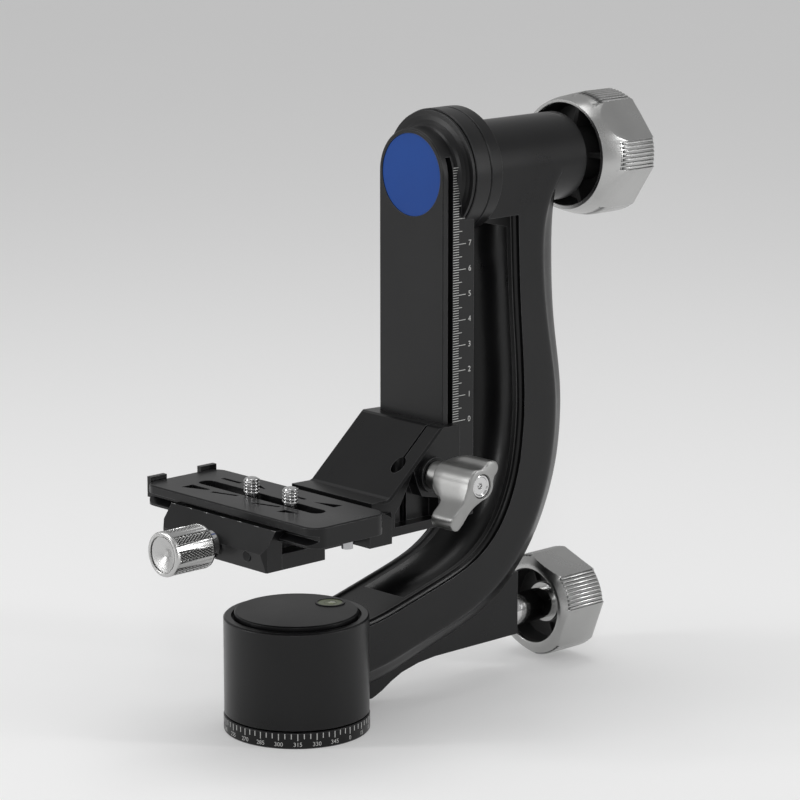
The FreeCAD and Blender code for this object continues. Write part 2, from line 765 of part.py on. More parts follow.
# Lens plate
def lens_plate():
    low = PLATE_HALF
    profile = [
        (PLATE_X - PLATE_HALF, PLATE_TOP),
        (PLATE_X + PLATE_HALF, PLATE_TOP),
        (PLATE_X + PLATE_HALF, PLATE_TOP - PLATE_SLAB),
        (PLATE_X + PLATE_HALF - DOVE_IN, PLATE_TOP - PLATE_SLAB - 0.3),
        (PLATE_X + PLATE_HALF - DOVE_IN, JAW_TOP - 0.9),
        (PLATE_X + low, PLATE_Z + 0.8),
        (PLATE_X + low, PLATE_Z),
        (PLATE_X - low, PLATE_Z),
        (PLATE_X - low, PLATE_Z + 0.8),
        (PLATE_X - PLATE_HALF + DOVE_IN, JAW_TOP - 0.9),
        (PLATE_X - PLATE_HALF + DOVE_IN, PLATE_TOP - PLATE_SLAB - 0.3),
        (PLATE_X - PLATE_HALF, PLATE_TOP - PLATE_SLAB),
    ]
    half = PLATE_LEN / 2
    body = prism_y(profile, -half, half)
    corner = 6.0
    mask = block(PLATE_X - PLATE_HALF, PLATE_X + PLATE_HALF, -half, half, PLATE_Z, PLATE_TOP)
    upright = edges_along(mask, V(0, 0, 1), lambda p: True)
    mask = edged(mask.makeFillet(corner, upright), 0.5, lambda p: p.z > PLATE_TOP - 0.01)
    body = body.common(mask)
    slot = block(SLOT_X - SLOT_HALF, SLOT_X + SLOT_HALF, SLOT_NEAR, SLOT_FAR, PLATE_Z - 1, PLATE_TOP + 1)
    slot = slot.fuse(rod_z(SLOT_HALF, PLATE_Z - 1, PLATE_TOP + 1, SLOT_X, SLOT_NEAR))
    slot = slot.fuse(rod_z(SLOT_HALF, PLATE_Z - 1, PLATE_TOP + 1, SLOT_X, SLOT_FAR))
    recess = block(SLOT_X - RECESS_HALF, SLOT_X + RECESS_HALF, SLOT_NEAR - 3, SLOT_FAR + 3, PLATE_Z - 1, RECESS_TOP)
    body = body.cut(slot)
    body = body.cut(recess)
    for y in (-SAFETY_Y, SAFETY_Y):
        body = body.cut(rod_z(SAFETY_R / 2 + RUN, PLATE_Z - 1, PLATE_TOP - 2, SLOT_X, y))
    for outline in plate_windows():
        body = body.cut(prism_z(outline, PLATE_Z - 1, PLATE_TOP + 1))
    return body


def plate_windows():
    """Cut-outs each side of the slot as (x, y) outlines."""
    left = PLATE_X - 9.4
    right = PLATE_X + 8.6
    return [
        [(right - 0.8, 23.5), (right + 1.2, 23.5), (right + 1.2, 34.6), (right - 0.8, 34.6)],
        [(left + 1.6, 23.9), (left + 3.2, 23.9), (left + 3.2, 34.8), (left - 2.6, 34.8)],
        [(left, 20.5), (left + 3.2, 9.0), (left + 5.0, 9.0), (left + 1.8, 20.5)],
        [(right + 5.0, 19.8), (right + 0.4, 19.8), (right + 0.4, 8.6)],
        [(left, -3.6), (left + 3.4, -15.1), (left + 5.2, -15.1), (left + 1.8, -3.6)],
        [(left - 1.8, -19.6), (left + 2.8, -19.6), (left + 2.8, -28.6)],
        [(right + 0.2, -2.4), (right + 2.0, -2.4), (right + 2.0, -13.0), (right + 0.2, -13.0)],
        [(right + 0.4, -17.6), (right + 5.2, -29.6), (right + 0.4, -29.6)],
    ]


def stop_tab(x0, x1):
    half = PLATE_LEN / 2
    return block(x0, x1, half, half + 2.2, PLATE_Z + 1.5, PLATE_TOP + 1.7)


def safety_screw(y):
    head = rod_z(SAFETY_R, PLATE_Z - 3, PLATE_Z, SLOT_X, y)
    shank = rod_z(SAFETY_R / 2, PLATE_Z, PLATE_TOP - 2.2, SLOT_X, y)
    return head.fuse(shank)


def camera_screw(y):
    seat = RECESS_TOP - KEEPER_T - SLIDE * 2
    head = rod_z(SCREW_HEAD_R, PLATE_Z + SLIDE, seat, SLOT_X, y)
    shank = turned_z([
        (0, seat),
        (SCREW_NECK_R, seat),
        (SCREW_NECK_R, PLATE_TOP + 0.2),
        (SCREW_R, PLATE_TOP + 0.2),
        (SCREW_R, SCREW_TOP - 0.6),
        (SCREW_R - 0.6, SCREW_TOP),
        (0, SCREW_TOP),
    ], SLOT_X, y)
    return head.fuse(shank)


def screw_keeper(y):
    """Sliding washer that holds a camera screw in the recess."""
    half = RECESS_HALF - SLIDE
    top = RECESS_TOP - SLIDE
    body = block(SLOT_X - half, SLOT_X + half, y - half, y + half, top - KEEPER_T, top)
    return body.cut(rod_z(SCREW_NECK_R + RUN, top - 5, top + 1, SLOT_X, y))


# Wing lever
def tapered_bar(x0, z0, r0, x1, z1, r1, y0, y1):
    """Bar between two round ends, narrowing from one to the other."""
    run = math.hypot(x1 - x0, z1 - z0)
    ax = (x1 - x0) / run
    az = (z1 - z0) / run
    sides = [
        (x0 - az * r0, z0 + ax * r0),
        (x1 - az * r1, z1 + ax * r1),
        (x1 + az * r1, z1 - ax * r1),
        (x0 + az * r0, z0 - ax * r0),
    ]
    return prism_y(sides, y0, y1).fuse([rod_y(r0, y0, y1, x0, z0), rod_y(r1, y0, y1, x1, z1)])


def wing_lever():
    long_wing = tapered_bar(LEVER_X, LEVER_Z, 6.4, LEVER_X - 13.6, LEVER_Z - 11.4, 3.6, LEVER_FACE + 1, LEVER_BACK)
    short_wing = tapered_bar(LEVER_X, LEVER_Z, 6.4, LEVER_X + 5.6, LEVER_Z + 5.2, 4.2, LEVER_FACE + 1, LEVER_BACK)
    neck = rod_y(5.2, LEVER_FACE, -BRACKET_HALF - 2.5, LEVER_X, LEVER_Z)
    body = long_wing.fuse([short_wing, neck])
    body = body.cut(rod_y(BOLT_R + RUN, LEVER_FACE + 6, -BRACKET_HALF, LEVER_X, LEVER_Z))
    return body.cut(rod_y(4.2 + RUN, LEVER_FACE - 1, LEVER_FACE + 6, LEVER_X, LEVER_Z))


def lever_screw():
    head = rod_y(4.2, LEVER_FACE + 0.3, LEVER_FACE + 6, LEVER_X, LEVER_Z)
    corners = [math.radians(60 * k) for k in range(6)]
    hexagon = [(LEVER_X + 2.3 * math.cos(t), LEVER_Z + 2.3 * math.sin(t)) for t in corners]
    return head.cut(prism_y(hexagon, LEVER_FACE - 1, LEVER_FACE + 3.4))


def clamp_bolt():
    return rod_y(BOLT_R, LEVER_FACE + 6, BOLT_END, LEVER_X, LEVER_Z)


def main():
    os.makedirs("parts", exist_ok=True)
    save(degree_ring(), "degree_ring")
    save(pan_spindle(), "pan_spindle")
    save(thread_bush(), "thread_bush")
    for number, (x, y) in enumerate(base_screw_spots(), 1):
        save(base_screw(x, y), "base_screw_" + str(number))
    save(spindle_nut(), "spindle_nut")
    save(pan_bearing(FLANGE_TOP + FACE_GAP), "pan_bearing_lower")
    save(pan_bearing(NUT_Z - FACE_GAP - BEARING_H), "pan_bearing_upper")
    save(pan_frame(), "pan_frame")
    save(top_cap(), "top_cap")
    save(level_ring(), "level_ring")
    save(bubble_level(), "bubble_level")
    save(brake_shoe(), "brake_shoe")
    save(tilt_bearing(FLANGE_X), "tilt_bearing_front")
    save(tilt_bearing(TUBE_END - BEARING_H), "tilt_bearing_rear")
    save(pan_lock_knob(), "pan_lock_knob")
    save(pan_lock_rod(), "pan_lock_rod")
    save(pan_lock_sleeve(), "pan_lock_sleeve")
    save(pan_lock_collar(), "pan_lock_collar")
    save(pan_lock_washer(), "pan_lock_washer")
    save(swing_arm(), "swing_arm")
    save(label_disc(), "label_disc")
    save(tilt_axle(), "tilt_axle")
    save(friction_disc(), "friction_disc")
    save(thrust_washer(), "thrust_washer")
    save(tilt_lock_knob(), "tilt_lock_knob")
    save(platform_bracket(), "platform_bracket")
    save(guide_pin(-1), "guide_pin_near")
    save(guide_pin(1), "guide_pin_far")
    save(lever_washer(), "lever_washer")
    save(clamp_jaw(), "clamp_jaw")
    save(clamp_knob(), "clamp_knob")
    save(clamp_rod(), "clamp_rod")
    save(clamp_collar(), "clamp_collar")
    save(lens_plate(), "lens_plate")
    save(stop_tab(PLATE_X - 14.8, PLATE_X - 6.8), "stop_tab_left")
    save(stop_tab(PLATE_X + 10.4, PLATE_X + 18.4), "stop_tab_right")
    save(safety_screw(-SAFETY_Y), "safety_screw_near")
    save(safety_screw(SAFETY_Y), "safety_screw_far")
    save(camera_screw(SCREW_NEAR_Y), "camera_screw_near")
    save(camera_screw(SCREW_FAR_Y), "camera_screw_far")
    save(screw_keeper(SCREW_NEAR_Y), "screw_keeper_near")
    save(screw_keeper(SCREW_FAR_Y), "screw_keeper_far")
    save(wing_lever(), "wing_lever")
    save(lever_screw(), "lever_screw")
    save(clamp_bolt(), "clamp_bolt")


main()
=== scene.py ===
import bmesh
import bpy
import math
from mathutils import Matrix, Vector


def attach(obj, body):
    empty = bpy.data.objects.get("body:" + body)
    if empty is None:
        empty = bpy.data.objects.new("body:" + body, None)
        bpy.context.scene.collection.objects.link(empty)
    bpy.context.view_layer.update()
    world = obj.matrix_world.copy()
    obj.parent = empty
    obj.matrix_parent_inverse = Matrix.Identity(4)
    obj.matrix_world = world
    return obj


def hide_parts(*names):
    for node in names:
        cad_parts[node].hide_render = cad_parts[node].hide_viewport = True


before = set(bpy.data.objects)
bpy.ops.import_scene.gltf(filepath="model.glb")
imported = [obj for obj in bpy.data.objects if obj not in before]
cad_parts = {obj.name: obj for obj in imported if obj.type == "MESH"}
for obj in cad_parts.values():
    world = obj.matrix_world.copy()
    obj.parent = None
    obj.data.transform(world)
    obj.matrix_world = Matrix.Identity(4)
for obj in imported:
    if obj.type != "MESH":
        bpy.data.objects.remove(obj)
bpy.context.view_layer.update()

MM = 0.001
TILT_Z = 210.0
LOCK_Z = 23.7
CLAMP_Z = 81.0
SCREW_X = -15.8
SCREW_NEAR_Y = -14.9
SCREW_FAR_Y = 7.3
LEVEL_X, LEVEL_Y, LEVEL_TOP = 16.3, -1.5, 47.1
PIN_Y, PIN_Z = 20.0, 80.0
JAW_FACE = -42.43

# The tilt knob's upper half is squeezed by this share, growing from the first radius to the second
SQUEEZE = 0.953
SQUEEZE_FROM, SQUEEZE_FULL = 21.2, 24.5


# Node helpers
def put(tree, kind, sockets=None, **settings):
    """A new node with its settings, and its inputs linked or set."""
    made = tree.nodes.new(kind)
    for name, value in settings.items():
        setattr(made, name, value)
    for name, value in (sockets or {}).items():
        if isinstance(value, bpy.types.NodeSocket):
            tree.links.new(value, made.inputs[name])
        else:
            made.inputs[name].default_value = value
    return made


def calc(tree, operation, a, b=0.0, clamp=False):
    made = put(tree, "ShaderNodeMath", {0: a, 1: b}, operation=operation)
    made.use_clamp = clamp
    return made.outputs[0]


def blend(tree, share, first, second):
    """Mix of two colours."""
    made = put(tree, "ShaderNodeMix", {0: share, 6: first, 7: second}, data_type="RGBA")
    return made.outputs[2]


def span(tree, value, low, high, start=0.0, end=1.0):
    """Value carried from the range start..end to low..high."""
    sockets = {"Value": value, "From Min": start, "From Max": end, "To Min": low, "To Max": high}
    return put(tree, "ShaderNodeMapRange", sockets).outputs[0]


def sockets_of(tree, inputs, outputs):
    for name, kind, value in inputs:
        made = tree.interface.new_socket(name, in_out="INPUT", socket_type=kind)
        if value is not None:
            made.default_value = value
    for name, kind in outputs:
        tree.interface.new_socket(name, in_out="OUTPUT", socket_type=kind)
    return put(tree, "NodeGroupInput"), put(tree, "NodeGroupOutput")


# Shared surface effects
def surface_grain():
    """Fine grain of a blasted or moulded surface, and broad uneven patches."""
    tree = bpy.data.node_groups.new("surface_grain", "ShaderNodeTree")
    given, out = sockets_of(
        tree,
        [("Fine", "NodeSocketFloat", 3000.0), ("Broad", "NodeSocketFloat", 40.0)],
        [("Fine", "NodeSocketFloat"), ("Broad", "NodeSocketFloat")],
    )
    place = put(tree, "ShaderNodeTexCoord").outputs["Object"]
    fine = put(tree, "ShaderNodeTexNoise", {"Vector": place, "Scale": given.outputs[0], "Detail": 2.0})
    broad = put(tree, "ShaderNodeTexNoise", {"Vector": place, "Scale": given.outputs[1], "Detail": 5.0})
    tree.links.new(fine.outputs[0], out.inputs[0])
    tree.links.new(broad.outputs[0], out.inputs[1])
    return tree


def worn_and_lit_edge():
    """Rounded normal at an edge, and a broken share of the edge that takes a colour of real wear and
    painted highlight.
    """
    tree = bpy.data.node_groups.new("worn_and_lit_edge", "ShaderNodeTree")
    given, out = sockets_of(
        tree,
        [("Radius", "NodeSocketFloat", 0.0004), ("Wear and highlight", "NodeSocketFloat", 1.0)],
        [("Normal", "NodeSocketVector"), ("Mask", "NodeSocketFloat")],
    )
    rounded = put(tree, "ShaderNodeBevel", {"Radius": given.outputs[0]}, samples=6).outputs[0]
    flat = put(tree, "ShaderNodeNewGeometry").outputs["Normal"]
    facing = put(tree, "ShaderNodeVectorMath", {0: rounded, 1: flat},
                 operation="DOT_PRODUCT").outputs["Value"]
    edge = span(tree, facing, 1.0, 0.0, 0.80, 0.995)
    place = put(tree, "ShaderNodeTexCoord").outputs["Object"]
    broken = put(tree, "ShaderNodeTexNoise", {"Vector": place, "Scale": 260.0, "Detail": 6.0}).outputs[0]
    broken = span(tree, broken, 0.35, 1.0, 0.34, 0.56)
    wear_and_highlight_mask = calc(tree, "MULTIPLY", calc(tree, "MULTIPLY", edge, broken), given.outputs[1], True)
    tree.links.new(rounded, out.inputs[0])
    tree.links.new(wear_and_highlight_mask, out.inputs[1])
    return tree


def lathe_lines():
    """Fine rings left by the lathe about an axis along X, and the distance from that axis."""
    tree = bpy.data.node_groups.new("lathe_lines", "ShaderNodeTree")
    given, out = sockets_of(
        tree,
        [("Height of axis", "NodeSocketFloat", 0.0), ("Fineness", "NodeSocketFloat", 5000.0),
         ("Stretch above", "NodeSocketFloat", 1.0)],
        [("Lines", "NodeSocketFloat"), ("Reach", "NodeSocketFloat")],
    )
    place = put(tree, "ShaderNodeTexCoord").outputs["Object"]
    parts = put(tree, "ShaderNodeSeparateXYZ", {0: place})
    rise = calc(tree, "SUBTRACT", parts.outputs[2], given.outputs[0])
    rise = calc(tree, "MAXIMUM", rise, calc(tree, "MULTIPLY", rise, given.outputs[2]))
    squares = calc(tree, "ADD", calc(tree, "POWER", rise, 2.0), calc(tree, "POWER", parts.outputs[1], 2.0))
    reach = calc(tree, "SQRT", squares)
    ring = put(tree, "ShaderNodeCombineXYZ", {0: parts.outputs[0], 1: reach})
    lines = put(tree, "ShaderNodeTexNoise", {"Vector": ring.outputs[0], "Scale": given.outputs[1],
                                             "Detail": 1.0})
    tree.links.new(lines.outputs[0], out.inputs[0])
    tree.links.new(reach, out.inputs[1])
    return tree


GRAIN = surface_grain()
LIT_WORN_EDGE = worn_and_lit_edge()
LINES = lathe_lines()


def use(tree, group, values=None):
    made = put(tree, "ShaderNodeGroup", node_tree=group)
    for name, value in (values or {}).items():
        made.inputs[name].default_value = value
    return made


def finish(name, dark, light, rough, metallic=0.0, grain=3000.0, depth=0.00001, edge=0.0004,
           edge_wear_and_highlight=None, axis=None, specular=0.5, coat=0.0, coat_rough=0.1, through=0.0, anisotropic=0.0,
           groove_shade_radii_and_stretch=None):
    """Material whose colour, roughness and relief vary over the surface.

    The groove shade argument gives the radii about the axis between which a painted shade, darkest at the
    foot of ridges and knurls, rises to the full colour, and the stretch upwards that undoes a squeeze of
    the piece.
    """
    made = bpy.data.materials.new(name)
    made.use_nodes = True
    tree = made.node_tree
    tree.nodes.clear()
    skin = use(tree, GRAIN, {"Fine": grain})
    rim = use(tree, LIT_WORN_EDGE, {"Radius": edge})
    broad = span(tree, skin.outputs["Broad"], 0.0, 1.0, 0.3, 0.7)
    colour = blend(tree, broad, (*dark, 1.0), (*light, 1.0))
    # Edge colour: partly real edge wear, partly a painted highlight where the edges catch light.
    if edge_wear_and_highlight:
        colour = blend(tree, rim.outputs["Mask"], colour, (*edge_wear_and_highlight, 1.0))
    height = skin.outputs["Fine"]
    if axis is not None:
        turned = use(tree, LINES, {"Height of axis": axis * MM,
                                   "Stretch above": groove_shade_radii_and_stretch[2] if groove_shade_radii_and_stretch else 1.0})
        height = calc(tree, "ADD", calc(tree, "MULTIPLY", height, 0.3), turned.outputs[0])
        if groove_shade_radii_and_stretch:
            # Painted shade: the colour falls to near black towards the foot of ridges and knurls, where
            # shade falls between them.
            unshaded_share = span(tree, turned.outputs["Reach"], 0.0, 1.0, groove_shade_radii_and_stretch[0] * MM, groove_shade_radii_and_stretch[1] * MM)
            colour = blend(tree, unshaded_share, (0.04, 0.04, 0.04, 1.0), colour)
    relief = put(tree, "ShaderNodeBump", {"Height": height, "Normal": rim.outputs["Normal"],
                                          "Strength": 0.6, "Distance": depth})
    roughness = calc(tree, "ADD", span(tree, broad, rough[0], rough[1]),
                     calc(tree, "MULTIPLY", skin.outputs["Fine"], 0.04))
    shader = put(tree, "ShaderNodeBsdfPrincipled", {
        "Base Color": colour,
        "Metallic": metallic,
        "Roughness": roughness,
        "Normal": relief.outputs[0],
        "Specular IOR Level": specular,
        "Coat Weight": coat,
        "Coat Roughness": coat_rough,
        "Transmission Weight": through,
        "Anisotropic": anisotropic,
    })
    if anisotropic:
        turn = put(tree, "ShaderNodeTangent", direction_type="RADIAL", axis="X")
        tree.links.new(turn.outputs[0], shader.inputs["Tangent"])
    out = put(tree, "ShaderNodeOutputMaterial")
    tree.links.new(shader.outputs[0], out.inputs[0])
    return made


# Each material's lighter edge colour stands for real edge wear and also for a painted edge highlight.
black_anodised = finish("black_anodised", (0.0038, 0.0038, 0.0042), (0.0060, 0.0060, 0.0064), (0.25, 0.31),
                        edge=0.0003, specular=0.30, edge_wear_and_highlight=(0.13, 0.13, 0.135))
black_rail = finish("black_rail", (0.0048, 0.0048, 0.0052), (0.0070, 0.0070, 0.0074), (0.29, 0.35),
                    edge=0.0003, specular=0.33, edge_wear_and_highlight=(0.13, 0.13, 0.135))
black_cap = finish("black_cap", (0.0030, 0.0030, 0.0034), (0.0045, 0.0045, 0.0049), (0.30, 0.36),
                   edge=0.0003, specular=0.22, edge_wear_and_highlight=(0.04, 0.04, 0.042))
TURNED = {"rough": (0.22, 0.28), "metallic": 1.0, "depth": 0.000006, "edge": 0.00012,
          "edge_wear_and_highlight": (0.74, 0.74, 0.735)}
silver_tilt = finish("silver_tilt_knob", (0.42, 0.42, 0.415), (0.49, 0.49, 0.485), axis=TILT_Z, **TURNED)
silver_pan = finish("silver_pan_knob", (0.42, 0.42, 0.415), (0.49, 0.49, 0.485), axis=LOCK_Z, **TURNED)
# The ridged and knurled finishes carry painted shade at the foot of their ridges and knurls.
ridged_tilt = finish("ridged_tilt_knob", (0.48, 0.48, 0.475), (0.56, 0.56, 0.555), axis=TILT_Z,
                     groove_shade_radii_and_stretch=(25.35, 25.9, 1 / SQUEEZE), **TURNED)
ridged_pan = finish("ridged_pan_knob", (0.48, 0.48, 0.475), (0.56, 0.56, 0.555), axis=LOCK_Z,
                    groove_shade_radii_and_stretch=(20.55, 21.1, 1.0), **TURNED)
silver_clamp = finish("silver_clamp_knob", (0.50, 0.50, 0.495), (0.58, 0.58, 0.575), (0.20, 0.26), 1.0,
                      axis=CLAMP_Z, depth=0.000005, edge_wear_and_highlight=(0.78, 0.78, 0.775), edge=0.00004,
                      anisotropic=0.85)
knurled_clamp = finish("knurled_clamp_knob", (0.58, 0.58, 0.575), (0.66, 0.66, 0.655), (0.20, 0.26), 1.0,
                       axis=CLAMP_Z, depth=0.000003, edge_wear_and_highlight=(0.8, 0.8, 0.795), edge=0.00003,
                       groove_shade_radii_and_stretch=(7.85, 8.4, 1.0))
silver_lever = finish("silver_lever", (0.30, 0.30, 0.295), (0.36, 0.36, 0.355), (0.32, 0.39), 1.0,
                      grain=2200.0, depth=0.000014, edge=0.0003, edge_wear_and_highlight=(0.62, 0.62, 0.615))
# Painted shade: near-black finish for the webs, sheets and hub skin inside the knobs' recesses, where shade
# falls.
painted_recess_shade = finish("painted_recess_shade", (0.010, 0.010, 0.010), (0.018, 0.018, 0.018), (0.42, 0.5), 0.0,
                     specular=0.35, edge_wear_and_highlight=(0.03, 0.03, 0.03))
plain_steel = finish("brushed_steel", (0.42, 0.42, 0.43), (0.52, 0.52, 0.53), (0.24, 0.32), 1.0,
                     axis=TILT_Z, depth=0.000005, edge_wear_and_highlight=(0.66, 0.66, 0.67))
bright_steel = finish("polished_steel", (0.58, 0.58, 0.58), (0.66, 0.66, 0.66), (0.06, 0.11), 1.0,
                      axis=LOCK_Z, depth=0.000002, edge_wear_and_highlight=(0.75, 0.75, 0.75))
thread_steel = finish("thread_steel", (0.60, 0.60, 0.60), (0.70, 0.70, 0.70), (0.14, 0.20), 1.0,
                      depth=0.000004, edge=0.0001, edge_wear_and_highlight=(0.8, 0.8, 0.8))
bright_cut = finish("bright_cut", (0.45, 0.45, 0.45), (0.60, 0.60, 0.60), (0.20, 0.30), 1.0, edge=0.0001)
blue_disc = finish("blue_disc", (0.002, 0.050, 0.27), (0.003, 0.058, 0.30), (0.34, 0.40), 0.0,
                   depth=0.000003, edge=0.0002, edge_wear_and_highlight=(0.02, 0.10, 0.36), specular=0.25, coat=0.05,
                   coat_rough=0.2)
olive_glass = finish("olive_level", (0.150, 0.195, 0.045), (0.185, 0.235, 0.060), (0.24, 0.29), 0.0,
                     depth=0.000001, edge=0.0002, edge_wear_and_highlight=(0.22, 0.27, 0.09), coat=0.2, coat_rough=0.1,
                     through=0.1)
level_bubble = finish("level_bubble", (0.42, 0.48, 0.22), (0.5, 0.56, 0.3), (0.05, 0.08), 0.0,
                      depth=0.000001, edge=0.0001, edge_wear_and_highlight=(0.6, 0.65, 0.4), coat=1.0, coat_rough=0.03)
level_mark = finish("level_mark", (0.045, 0.058, 0.018), (0.060, 0.075, 0.024), (0.3, 0.4), edge=0.0001)
brake_pad = finish("brake_pad", (0.035, 0.034, 0.032), (0.055, 0.053, 0.050), (0.62, 0.75),
                   grain=1200.0, depth=0.00003, edge_wear_and_highlight=(0.09, 0.088, 0.085))
white_print = finish("white_print", (0.52, 0.52, 0.51), (0.66, 0.66, 0.65), (0.5, 0.6),
                     depth=0.000004, edge=0.00002, specular=0.3)

CAD_FINISH = {
    black_anodised: ["degree_ring", "pan_frame", "platform_bracket", "lever_washer", "clamp_jaw",
                     "lens_plate", "stop_tab_left", "stop_tab_right"],
    black_rail: ["swing_arm"],
    black_cap: ["top_cap", "level_ring"],
    bright_steel: ["pan_lock_sleeve", "pan_lock_collar", "clamp_collar"],
    silver_pan: ["pan_lock_washer"],
    blue_disc: ["label_disc"],
    olive_glass: ["bubble_level"],
    brake_pad: ["brake_shoe", "friction_disc"],
}


def dress_cad_nodes():
    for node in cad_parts.values():
        node.data.materials.clear()
        node.data.materials.append(plain_steel)
    for material, names in CAD_FINISH.items():
        for name in names:
            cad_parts[name].data.materials[0] = material


# Mesh helpers
def shape(name, points, faces, material, sharp=32):
    """Object of millimetre points, merged, facing outwards, with edges over an angle left sharp."""
    mesh = bpy.data.meshes.new(name)
    mesh.from_pydata([Vector(p) * MM for p in points], [], faces)
    work = bmesh.new()
    work.from_mesh(mesh)
    bmesh.ops.remove_doubles(work, verts=work.verts, dist=0.000002)
    bmesh.ops.dissolve_degenerate(work, edges=work.edges, dist=0.0000005)
    bmesh.ops.recalc_face_normals(work, faces=work.faces)
    work.to_mesh(mesh)
    work.free()
    for face in mesh.polygons:
        face.use_smooth = True
    mesh.set_sharp_from_angle(angle=math.radians(sharp))
    mesh.materials.append(material)
    made = bpy.data.objects.new(name, mesh)
    bpy.context.scene.collection.objects.link(made)
    return made


def settle(piece, body, slot, *replaced):
    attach(piece, body)
    if replaced:
        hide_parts(*replaced)


def rings(columns):
    """Points and faces of a closed skin from equal columns set side by side round an axis."""
    rows = len(columns[0])
    points = [p for column in columns for p in column]
    faces = []
    for k in range(len(columns)):
        a = k * rows
        b = (k + 1) % len(columns) * rows
        for j in range(rows - 1):
            faces.append((a + j, b + j, b + j + 1, a + j + 1))
    return points, faces


def about_x(x, r, angle, z):
    """Point at radius r about an axis along X, its angle counted from the near side upwards."""
    turn = math.radians(angle)
    return (x, -r * math.cos(turn), z + r * math.sin(turn))


def lathe_x(profile, z, steps=96):
    return rings([[about_x(x, r, 360 * k / steps, z) for x, r in profile] for k in range(steps)])


def lathe_z(profile, x, y, steps=64):
    columns = []
    for k in range(steps):
        turn = 2 * math.pi * k / steps
        columns.append([(x + r * math.cos(turn), y + r * math.sin(turn), z) for r, z in profile])
    return rings(columns)


def bar(x0, x1, y0, y1, z0, z1):
    points = [(x, y, z) for x in (x0, x1) for y in (y0, y1) for z in (z0, z1)]
    faces = [(0, 1, 3, 2), (4, 6, 7, 5), (0, 4, 5, 1), (2, 3, 7, 6), (0, 2, 6, 4), (1, 5, 7, 3)]
    return points, faces


# Repeating features
def repeat_tree():
    """Copies of the piece in rows and groups, turned about an axis, every few of them longer."""
    tree = bpy.data.node_groups.new("repeat_rows", "GeometryNodeTree")
    number, whole, vector = "NodeSocketFloat", "NodeSocketInt", "NodeSocketVector"
    given, out = sockets_of(
        tree,
        [
            ("Geometry", "NodeSocketGeometry", None),
            ("In a group", whole, 1), ("Groups", whole, 1), ("Rows", whole, 1),
            ("Step turn", number, 0.0), ("Group turn", number, 0.0),
            ("First turn", number, 0.0), ("Stagger", number, 0.0),
            ("Turn axis", vector, (1.0, 0.0, 0.0)),
            ("Step", vector, (0.0, 0.0, 0.0)), ("Row step", vector, (0.0, 0.0, 0.0)),
            ("Middle every", whole, 1), ("Middle length", number, 1.0),
            ("Long every", whole, 1), ("Long length", number, 1.0),
            ("Stretch", vector, (0.0, 0.0, 0.0)), ("Place", vector, (0.0, 0.0, 0.0)),
            ("Finish", "NodeSocketMaterial", None),
        ],
        [("Geometry", "NodeSocketGeometry")],
    )
    value = {socket.name: socket for socket in given.outputs}
    group_size = calc(tree, "MULTIPLY", value["In a group"], value["Groups"])
    total = calc(tree, "MULTIPLY", group_size, value["Rows"])
    line = put(tree, "GeometryNodeMeshLine", {"Count": total, "Offset": (0.0, 0.0, 0.0)})
    index = calc(tree, "ADD", put(tree, "GeometryNodeInputIndex").outputs[0], 0.5)
    step = calc(tree, "FLOOR", calc(tree, "MODULO", index, value["In a group"]))
    group = calc(tree, "FLOOR", calc(tree, "MODULO", calc(tree, "DIVIDE", index, value["In a group"]),
                                     value["Groups"]))
    row = calc(tree, "FLOOR", calc(tree, "DIVIDE", index, group_size))
    turn = calc(tree, "ADD", value["First turn"], calc(tree, "MULTIPLY", step, value["Step turn"]))
    turn = calc(tree, "ADD", turn, calc(tree, "MULTIPLY", group, value["Group turn"]))
    turn = calc(tree, "ADD", turn, calc(tree, "MULTIPLY", calc(tree, "MODULO", row, 2.0), value["Stagger"]))

    def scaled(direction, amount):
        return put(tree, "ShaderNodeVectorMath", {0: direction, "Scale": amount},
                   operation="SCALE").outputs[0]

    def added(first, second):
        return put(tree, "ShaderNodeVectorMath", {0: first, 1: second}, operation="ADD").outputs[0]

    def every(count, length, before):
        """The length where the step is a multiple of count, and the one before elsewhere."""
        hit = calc(tree, "LESS_THAN", calc(tree, "MODULO", step, count), 0.5)
        change = calc(tree, "MULTIPLY", calc(tree, "SUBTRACT", length, before), hit)
        return calc(tree, "ADD", before, change)

    length = every(value["Middle every"], value["Middle length"], 1.0)
    length = every(value["Long every"], value["Long length"], length)
    stretch = added((1.0, 1.0, 1.0), scaled(value["Stretch"], calc(tree, "SUBTRACT", length, 1.0)))
    place = added(scaled(value["Step"], step), scaled(value["Row step"], row))
    spots = put(tree, "GeometryNodeSetPosition", {"Geometry": line.outputs[0], "Position": place})
    aim = put(tree, "FunctionNodeEulerToRotation", {0: scaled(value["Turn axis"], turn)})
    copies = put(tree, "GeometryNodeInstanceOnPoints", {
        "Points": spots.outputs[0], "Instance": value["Geometry"], "Rotation": aim.outputs[0],
        "Scale": stretch,
    })
    moved = put(tree, "GeometryNodeTransform",
                {"Geometry": copies.outputs[0], "Translation": value["Place"]})
    real = put(tree, "GeometryNodeRealizeInstances", {0: moved.outputs[0]})
    dressed = put(tree, "GeometryNodeSetMaterial",
                  {"Geometry": real.outputs[0], "Material": value["Finish"]})
    tree.links.new(dressed.outputs[0], out.inputs[0])
    return tree


